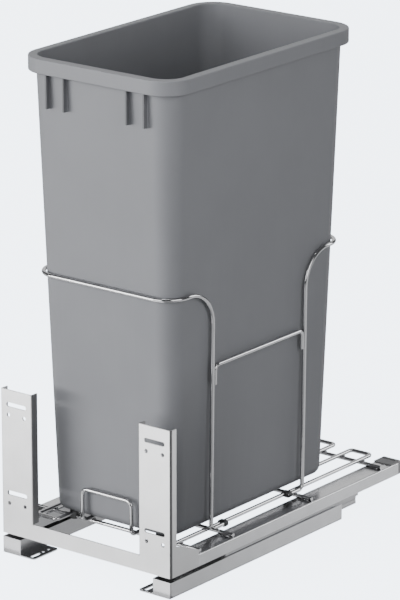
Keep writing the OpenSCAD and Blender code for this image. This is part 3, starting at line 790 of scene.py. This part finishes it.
class BINFRAME_OT_wires(Operator):
    """Bends the wires of the cradle: cross wires, rack loops, hoops and side bars"""
    bl_idname = "binframe.wires"
    bl_label = "Wire cradle"

    def execute(self, context):
        s = context.scene.wire_sizes
        for name in CROSSES:
            self.cross_wire(f"{name}_cross_wire")
        for side in SIDES:
            self.rack_loop(s, f"{side}_rack_loop")
            self.side_bar(s, side)
        self.centre_loop(s)
        self.hoop(s, "front_hoop", 1)
        self.hoop(s, "rear_hoop", -1)
        return {"FINISHED"}

    def hang(self, node, *wire, closed=False):
        """Bends and places the wire of a node."""
        place(bend_wire(*wire, closed), f"{node}_rod", "frame", "chrome_wire", node, angle=40)

    def cross_wire(self, node):
        """A straight wire across the rails."""
        lo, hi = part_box(node)
        mid = (lo + hi) / 2
        self.hang(node, [(lo.x, mid.y, mid.z), (hi.x, mid.y, mid.z)], [], (hi.z - lo.z) / 2)

    def rack_loop(self, s, node):
        """A level loop, closed in the middle of a leg."""
        lo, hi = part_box(node)
        r = (hi.z - lo.z) / 2
        mid = (lo + hi) / 2
        a, b = lo + Vector((r, r, r)), hi - Vector((r, r, r))
        corners = [(a.x, mid.y), (a.x, b.y), (b.x, b.y), (b.x, a.y), (a.x, a.y), (a.x, mid.y)]
        points = [(x, y, mid.z) for x, y in corners]
        self.hang(node, points, [s.loop_bend] * 4, r, closed=True)

    def centre_loop(self, s):
        """The centre loop, whose front end is bent up as a stop for the bin."""
        node = "centre_rack_loop"
        lo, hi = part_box(node)
        cross_lo, cross_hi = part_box("front_cross_wire")
        r = (cross_hi.z - cross_lo.z) / 2
        a, b = lo + Vector((r, r, r)), hi - Vector((r, r, r))
        points = [(0, b.y, a.z), (b.x, b.y, a.z), (b.x, a.y, a.z), (b.x, a.y, b.z),
                  (a.x, a.y, b.z), (a.x, a.y, a.z), (a.x, b.y, a.z), (0, b.y, a.z)]
        bends = [s.loop_bend, s.stop_bend, s.stop_corner, s.stop_corner, s.stop_bend, s.loop_bend]
        self.hang(node, points, bends, r, closed=True)

    def hoop(self, s, node, way):
        """A hoop whose uprights lie on the +Y side of its run, or the -Y side where way is -1."""
        lo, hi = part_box(node)
        straight = 4 * MM  # between the corner and the shoulder
        r = hi.y - lo.y - s.hoop_foot - s.hoop_corner - s.shoulder - straight
        x, z = hi.x - r, hi.z - r
        foot_z = lo.z + r
        run, end = (lo.y + r, hi.y) if way > 0 else (hi.y - r, lo.y)
        upright = end - way * s.hoop_foot
        foot_x = x - (z - foot_z) / LEAN
        half = [(foot_x, end, foot_z), (foot_x, upright, foot_z), (x, upright, z), (x, run, z)]
        points = half + [(-p[0], p[1], p[2]) for p in reversed(half)]
        bends = [s.foot_bend, s.shoulder, s.hoop_corner]
        self.hang(node, points, bends + bends[::-1], r)

    def side_bar(self, s, side):
        """A bar between the uprights of one side, with both ends turned down."""
        node = f"{side}_side_bar"
        lo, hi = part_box(node)
        lean = (hi.z - lo.z) / LEAN
        r = ((hi.x - lo.x) - lean) / 2
        inner, outer = (lo.x + r, hi.x - r) if side == "right" else (hi.x - r, lo.x + r)
        front, rear, top = lo.y + r, hi.y - r, hi.z - r
        points = [(inner, front, lo.z), (outer, front, top), (outer, rear, top), (inner, rear, lo.z)]
        self.hang(node, points, [s.bar_bend, s.bar_bend], r)


class BINFRAME_OT_welds(Operator):
    """Sets a weld bead wherever wires cross, lie on the rails or meet end to side"""
    bl_idname = "binframe.welds"
    bl_label = "Weld beads"

    def execute(self, context):
        r = context.scene.wire_sizes.weld
        spot_shape, seam_shape = (1.15, 1.0, 0.7), (4.2, 0.8, 0.45)
        spot_off, seam_up, bar_ups = 1.5 * MM, 0.5 * MM, (5 * MM, 12 * MM)
        seam_off = 0.62  # in radii of the wire
        crosses = [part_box(f"{name}_cross_wire") for name in CROSSES]
        wire = (crosses[0][1].z - crosses[0][0].z) / 2
        loops = [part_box(f"{side}_rack_loop") for side in (*SIDES, "centre")]
        legs = [x for lo, hi in loops for x in (lo.x + wire, hi.x - wire)]
        spots, seams = [], []
        for lo, hi in crosses:
            y = (lo.y + hi.y) / 2
            spots += [(x + d, y + d, hi.z) for x in legs for d in (spot_off, -spot_off)]
            for side in SIDES:
                rail_lo, rail_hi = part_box(f"{side}_carrier_rail")
                x = (rail_lo.x + rail_hi.x) / 2
                seams += [(x, y + seam_off * wire * k, lo.z + seam_up) for k in (-1, 1)]
        for side in SIDES:
            lo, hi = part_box(f"{side}_side_bar")
            x = (lo.x + hi.x) / 2
            spots += [(x, y, lo.z + up) for y in (lo.y, hi.y) for up in bar_ups]
        beads = self.run(r, spot_shape, spots) + self.run(r, seam_shape, seams)
        place(joined(*beads), "weld_beads", "frame", "chrome_wire", angle=60)
        return {"FINISHED"}

    def run(self, r, shape, spots):
        """One bead drawn out to a shape, and a copy of it at each spot."""
        clear()
        bpy.ops.mesh.primitive_ico_sphere_add(subdivisions=2, radius=r)
        bead = bpy.context.object
        edit(bead)
        select_every()
        bpy.ops.transform.resize(value=shape, center_override=(0, 0, 0))
        clear()
        beads = [copy_at(bead, spot) for spot in spots]
        remove(bead)
        return beads


class BINFRAME_OT_clips(Operator):
    """Models the dark clips at the feet of the hoops and on the front cross wire"""
    bl_idname = "binframe.clips"
    bl_label = "Clips"

    def execute(self, context):
        self.hoop_clips(context.scene.wire_sizes.clip)
        self.cross_clips()
        return {"FINISHED"}

    def hoop_clips(self, deep):
        """Four clips with a bore each for the rack's leg and for the hoop's foot."""
        slack, past, clip_round, bore_round = 0.1 * MM, 2 * MM, 0.5 * MM, 0.15 * MM
        end_share, bore_share = 0.98, 0.99  # a corner's radius, in half widths
        lo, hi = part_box("hoop_clips")
        leg_lo, leg_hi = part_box("right_rack_loop")
        leg_r = (leg_hi.z - leg_lo.z) / 2
        leg = leg_hi.x - leg_r
        wall = (hi.z - lo.z) / 2
        foot = hi.x - wall
        level = (lo.z + hi.z) / 2
        half = ((foot - leg) / 2 + wall, wall)
        made = []
        for y in (lo.y + deep / 2, hi.y - deep / 2):
            clip = prism(((leg + foot) / 2, y, level), half, wall * end_share, "Y", deep)
            soften(clip, clip_round)
            for x, r in ((leg, leg_r), (foot, foot - leg - leg_r + slack)):
                bore = r + slack
                cut_with(clip, [prism((x, y, level), (bore, bore), bore * bore_share, "Y", deep + past)])
            soften(clip, bore_round, angle=60)
            made += [clip, mirrored(clip)]
        place(joined(*made), "hoop_clip_mouldings", "frame", "clip_plastic", "hoop_clips")

    def cross_clips(self):
        """Two round clips with a dished top."""
        rim, slope, dish, edge_round = 1.6 * MM, 0.4 * MM, 0.8 * MM, 0.6 * MM
        lo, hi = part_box("cross_clips")
        r = (hi.y - lo.y) / 2
        clear()
        bpy.ops.mesh.primitive_cylinder_add(vertices=32, radius=r, depth=hi.z - lo.z,
                                            location=(hi.x - r, lo.y + r, (lo.z + hi.z) / 2))
        button = bpy.context.object
        settle()
        edit(button)
        pick(button, "faces", lambda f: f.normal.z > 0.9)
        bpy.ops.mesh.inset(thickness=rim)
        bpy.ops.mesh.inset(thickness=slope, depth=-dish)
        clear()
        soften(button, edge_round, steps=3)
        pair = joined(mirrored(button), button)
        place(pair, "cross_clip_mouldings", "frame", "clip_plastic", "cross_clips")


class BINFRAME_OT_bracket(Operator):
    """Folds the door bracket from sheet and punches its slots and holes"""
    bl_idname = "binframe.bracket"
    bl_label = "Door bracket"

    def execute(self, context):
        s = context.scene.sheet_sizes
        tail = 8 * MM  # from the upper rear corner of a gusset down to the next point
        lo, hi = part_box("door_bracket")
        inner = hi.x - s.upright
        bar_top = lo.z + s.bar
        gusset_top = lo.z + s.gusset
        flange_y = lo.y + s.flange
        sheet = block((inner, lo.y, lo.z), (hi.x, flange_y, hi.z))
        edit(sheet)
        drop_faces(sheet, lambda f: f.normal.y > 0.5 or abs(f.normal.z) > 0.5)
        for z in (bar_top, gusset_top):
            slice_at((0, 0, z), (0, 0, 1))
        drop_faces(sheet, lambda f: f.normal.x < -0.5 and f.calc_center_median().z < bar_top)
        pull_edges(sheet, lambda e: along(e, 2) and lies(e, x=inner, y=lo.y)
                   and middle(e).z < bar_top, (-inner, 0, 0))
        pull_edges(sheet, lambda e: along(e, 2) and lies(e, x=hi.x, y=flange_y)
                   and middle(e).z < gusset_top, (0, hi.y - lo.y - s.flange, 0))
        shift(sheet, "verts", lambda v: lies(v, y=hi.y, z=gusset_top), (0, 0, s.gusset_end - s.gusset))
        shift(sheet, "verts", lambda v: lies(v, y=hi.y, z=bar_top), (0, 0, (s.gusset_end - s.bar) - tail))
        round_edges(sheet, lambda e: along(e, 2) and (lies(e, x=hi.x, y=lo.y)
                    or (lies(e, x=inner, y=lo.y) and middle(e).z > bar_top)), s.fold, FOLD_STEPS)
        clear()
        whole = joined(mirrored(sheet), sheet)
        edit(whole)
        select_every()
        bpy.ops.mesh.remove_doubles(threshold=SAME)
        thicken(whole, s.bracket_sheet)
        cut_with(whole, self.punches(lo, hi, s))
        soften(whole, s.edge, angle=40)
        place(whole, "door_bracket_sheet", "frame", "bracket_steel", "door_bracket")
        return {"FINISHED"}

    def punches(self, lo, hi, s):
        """Cutters for a slot and two holes at two heights on both uprights."""
        slot, hole, reach = (15 * MM, 2.75 * MM), (2.5 * MM, 2.5 * MM), 12 * MM
        slot_downs, hole_out, hole_down = (18 * MM, 128 * MM), 12 * MM, 13 * MM
        cuts = ((slot, 0, 0), (hole, -hole_out, hole_down), (hole, hole_out, hole_down))
        x = hi.x - s.upright / 2
        return [punch((k * x + out, lo.y, hi.z - level - down), half, "Y", reach)
                for k in (-1, 1) for level in slot_downs for half, out, down in cuts]


class BINFRAME_OT_carrier_rails(Operator):
    """Folds the carrier rails from sheet, open below and at both ends"""
    bl_idname = "binframe.carrier_rails"
    bl_label = "Carrier rails"

    def execute(self, context):
        s = context.scene.sheet_sizes
        window, corner, reach = (2.5 * MM, 1.75 * MM), 0.6 * MM, 5 * MM
        window_outs, window_back = (2.5 * MM, 10 * MM), 17.25 * MM
        lo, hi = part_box("right_carrier_rail")
        gusset_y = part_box("door_bracket")[1].y
        fold_x = hi.x - s.fold * 0.999
        rail = block(lo, hi)
        edit(rail)
        drop_faces(rail, lambda f: f.normal.z < -0.5 or abs(f.normal.y) > 0.5)
        round_edges(rail, lambda e: along(e, 1) and lies(e, z=hi.z), s.fold, FOLD_STEPS)
        slice_at((0, gusset_y, 0), (0, 1, 0))
        drop_faces(rail, lambda f: f.calc_center_median().y < gusset_y and f.calc_center_median().x > fold_x)
        thicken(rail, s.slide_sheet)
        mid = (lo.x + hi.x) / 2
        cut_with(rail, [prism((mid + out, hi.y - window_back, hi.z), window, corner, "Z", reach)
                        for out in window_outs])
        soften(rail, s.edge, angle=40)
        place_pair(rail, "carrier_rail", "sheet", "frame", "slide_steel")
        return {"FINISHED"}


class BINFRAME_OT_cabinet_runners(Operator):
    """Folds the cabinet runners from sheet, with their punched floor feet"""
    bl_idname = "binframe.cabinet_runners"
    bl_label = "Cabinet runners"

    def execute(self, context):
        s = context.scene.sheet_sizes
        fold, fold_steps = 1.6 * MM, 4
        lo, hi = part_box("right_cabinet_runner")
        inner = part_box("right_carrier_rail")[0].x
        runner = block((inner, lo.y, lo.z), hi)
        edit(runner)
        drop_faces(runner, lambda f: f.normal.z > 0.5 or f.normal.y > 0.5)
        round_edges(runner, lambda e: (along(e, 1) and lies(e, x=hi.x, z=lo.z))
                    or (along(e, 2) and lies(e, y=lo.y)), fold, fold_steps)
        clear()
        thicken(runner, s.slide_sheet)
        soften(runner, s.edge, angle=40)
        feet = [self.foot(s, lo, inner, end, way) for end, way in ((lo.y, 1), (hi.y, -1))]
        place_pair(joined(*feet, runner), "cabinet_runner", "sheet", "cabinet", "slide_steel")
        return {"FINISHED"}

    def foot(self, s, lo, inner, end, way):
        """A floor foot that reaches inwards from one end of a runner."""
        corner, lap, inset, reach = 4 * MM, 0.4 * MM, 7.5 * MM, 8 * MM
        slot, hole = (2.25 * MM, 8.5 * MM), (2.25 * MM, 2.25 * MM)
        slot_in, holes_in, hole_off = 12 * MM, 31 * MM, 5 * MM
        y0, y1 = sorted((end, end + way * s.foot))
        foot = block((lo.x, y0, lo.z), (inner + lap, y1, lo.z + s.slide_sheet))
        edit(foot)
        round_edges(foot, lambda e: along(e, 2) and lies(e, x=lo.x), corner, FOLD_STEPS)
        clear()
        x, slot_y, hole_y = lo.x + inset, end + way * slot_in, end + way * holes_in
        tools = [punch((x, slot_y, lo.z), slot, "Z", reach)]
        tools += [punch((x, hole_y + d, lo.z), hole, "Z", reach) for d in (-hole_off, hole_off)]
        cut_with(foot, tools)
        soften(foot, s.edge, angle=40)
        return foot


class BINFRAME_OT_end_caps(Operator):
    """Models the end caps of the carrier rails, arched over the middle runner, with a tongue on the rail"""
    bl_idname = "binframe.end_caps"
    bl_label = "End caps"

    def execute(self, context):
        s = context.scene.sheet_sizes
        gap, arch, arch_gap, edge_round = 0.2 * MM, 8.6 * MM, 0.6 * MM, 0.25 * MM
        plug_long, plug_lap, past = 3 * MM, 0.5 * MM, 4 * MM
        groove_in, groove_out, groove_deep, groove_long = 0.8 * MM, 21 * MM, 2.4 * MM, 3.2 * MM
        lo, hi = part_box("right_end_cap")
        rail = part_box("right_carrier_rail")[1]
        runner_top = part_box("right_middle_runner")[1].z
        mid = (lo.x + hi.x) / 2
        tongue_z = rail.z + gap
        plate = block((lo.x, rail.y, lo.z), hi)
        edit(plate)
        slice_at((0, 0, tongue_z), (0, 0, 1))
        pick(plate, "faces", lambda f: f.normal.y < -0.5 and f.calc_center_median().z > tongue_z)
        pull((0, lo.y - rail.y, 0))
        clear()
        inset = s.slide_sheet + gap
        plug = block((lo.x + inset, rail.y - plug_long, lo.z + plug_lap),
                     (hi.x - inset, rail.y + plug_lap, rail.z - inset))
        for part in (plate, plug):
            cut_with(part, [block((mid - arch, rail.y - past, lo.z - MM),
                                  (mid + arch, hi.y + MM, runner_top + arch_gap))])
        cut_with(plate, [block((lo.x + groove_in, rail.y, hi.z - groove_deep),
                               (lo.x + groove_out, rail.y + groove_long, hi.z + MM))])
        for part in (plate, plug):
            soften(part, edge_round, angle=60)
        place_pair(joined(plug, plate), "end_cap", "moulding", "frame", "cap_plastic")
        return {"FINISHED"}


class BINFRAME_OT_finishes(Operator):
    """Gives the slides' inner pieces their finishes"""
    bl_idname = "binframe.finishes"
    bl_label = "Inner slide finishes"

    def execute(self, context):
        slots = {row["node"]: row["material_slot"] for row in frame["record"]["subparts"]}
        for name, obj in frame["nodes"].items():
            if not obj.hide_render:
                # the middle runners get the darker zinc, painted shade
                paint(obj, "runner_shaded_steel" if "middle" in name else slots[name])
        return {"FINISHED"}


class BINFRAME_OT_stage(Operator):
    """Sets the pale floor, the soft studio light and the camera"""
    bl_idname = "binframe.stage"
    bl_label = "Stage"

    GROUND = -0.6 * MM
    SLANT = 0.87
    # Boards that only the metal mirrors: name, two corners, X of the side that slants
    BOARDS = (
        ("front_board", (-3.5, -3.5, GROUND), (0.125, -0.242, GROUND), 0.125),
        ("under_board", (-3.5, -0.241, GROUND), (0.125, 3.5, GROUND), None),
        ("side_board", (0.13, -0.22, GROUND), (2.5, 3.5, GROUND), None),
        ("dark_card", (0.13, -3.5, GROUND), (3.5, -0.225, GROUND), 0.13),
        ("rear_board", (1.4, 3.0, 0.5), (2.6, 3.0, 2.8), None),
    )
    # Flags that only throw shade: name, two corners
    FLAGS = (
        ("side_flag", (0.249, -0.5, 0), (0.251, -0.145, 0.27)),
        ("front_flag", (0.048, -0.226, 0.05), (0.124, -0.225, 0.205)),
    )
    # Panels of light: name, place, height of the aim, width and height, watts
    LIGHTS = (
        ("key", (-1.0, -4.0, 1.8), 0.3, (4.4, 2.6), 150),
        ("low", (-2.4, -3.2, 0.27), 0.25, (2.6, 0.45), 90),
        ("fill", (1.4, -0.45, 0.85), 0.3, (1.1, 1.1), 11),
        ("top", (-0.2, -0.2, 4.5), 0.3, (1.2, 1.2), 40),
        ("back", (-3.0, 3.4, 2.5), 0.3, (6.0, 4.6), 78),
    )
    # The camera, fitted to straight edges in the photograph
    EYE, AIM = (2.8098, -3.6189, 1.7069), (-0.0019, -0.0097, 0.2828)

    def execute(self, context):
        clear()
        floor = self.sheet("floor", (-30, -30, self.GROUND), (30, 30, self.GROUND))
        floor.visible_diffuse = floor.visible_glossy = False
        for name, lo, hi, side in self.BOARDS:
            board = self.sheet(name, lo, hi)
            board.visible_camera = board.visible_diffuse = board.visible_shadow = False
            if side:
                edit(board)
                shift(board, "verts", lambda v: lies(v, x=side, y=lo[1]), (self.SLANT, 0, 0))
                clear()
        for name, lo, hi in self.FLAGS:
            flag = block(lo, hi)
            self.show(flag, name, "dark_card")
            flag.visible_camera = flag.visible_diffuse = flag.visible_glossy = False
        world = bpy.data.worlds.new("studio")
        world.use_nodes = True
        sky = world.node_tree.nodes["Background"]
        sky.inputs["Color"].default_value = (0.95, 0.97, 1.0, 1)
        sky.inputs["Strength"].default_value = 0.13
        context.scene.world = world
        for name, spot, aim_z, size, watts in self.LIGHTS:
            light = bpy.data.lights.new(name, "AREA")
            light.shape = "RECTANGLE"
            light.size, light.size_y = size
            light.energy = watts
            self.stand(context, light, spot, (0, 0, aim_z))
        lens = bpy.data.cameras.new("camera")
        lens.sensor_width = 36
        lens.lens = 241.46
        lens.clip_start, lens.clip_end = 0.1, 200
        context.scene.camera = self.stand(context, lens, self.EYE, self.AIM)
        return {"FINISHED"}

    def show(self, obj, name, slot):
        """Names and paints a piece of the studio, and sets it on the stage."""
        obj.name = obj.data.name = name
        paint(obj, slot)

    def sheet(self, name, lo, hi):
        """A level or upright sheet between two corners."""
        lo, hi = Vector(lo), Vector(hi)
        size = hi - lo
        clear()
        bpy.ops.mesh.primitive_plane_add(size=1, location=(lo + hi) / 2,
                                         rotation=(pi / 2 if size.z else 0, 0, 0))
        obj = bpy.context.object
        obj.scale = (size.x, size.z or size.y, 1)
        settle()
        self.show(obj, name, name)
        return obj

    def stand(self, context, data, spot, aim):
        """A light or a camera at a spot, turned to its aim."""
        obj = bpy.data.objects.new(data.name, data)
        context.scene.collection.objects.link(obj)
        obj.location = spot
        obj.rotation_euler = (Vector(aim) - Vector(spot)).to_track_quat("-Z", "Y").to_euler()
        return obj


class BINFRAME_PT_panel(Panel):
    """Lists the pieces of the bin frame and their settings"""
    bl_label = "Bin Frame"
    bl_idname = "BINFRAME_PT_panel"
    bl_space_type = "VIEW_3D"
    bl_region_type = "UI"
    bl_category = "Bin Frame"

    def draw(self, context):
        for operator in OPERATORS:
            self.layout.operator(operator.bl_idname)
        for name in GROUPS:
            settings = getattr(context.scene, name)
            column = self.layout.column(align=True)
            for key in settings.__annotations__:
                column.prop(settings, key)


GROUPS = {"bin_sizes": BinSizes, "wire_sizes": WireSizes, "sheet_sizes": SheetSizes, "finishes": Finishes}
OPERATORS = (
    BINFRAME_OT_bin,
    BINFRAME_OT_wires,
    BINFRAME_OT_welds,
    BINFRAME_OT_clips,
    BINFRAME_OT_bracket,
    BINFRAME_OT_carrier_rails,
    BINFRAME_OT_cabinet_runners,
    BINFRAME_OT_end_caps,
    BINFRAME_OT_finishes,
    BINFRAME_OT_stage,
)


def register():
    for kind in (*GROUPS.values(), *OPERATORS, BINFRAME_PT_panel):
        bpy.utils.register_class(kind)
    for name, kind in GROUPS.items():
        setattr(bpy.types.Scene, name, PointerProperty(type=kind))


def unregister():
    for name in GROUPS:
        delattr(bpy.types.Scene, name)
    for kind in (BINFRAME_PT_panel, *reversed(OPERATORS), *reversed(GROUPS.values())):
        bpy.utils.unregister_class(kind)


def main():
    register()
    for operator in OPERATORS:
        getattr(bpy.ops.binframe, operator.bl_idname.split(".")[1])()


if __name__ == "__main__":
    main()
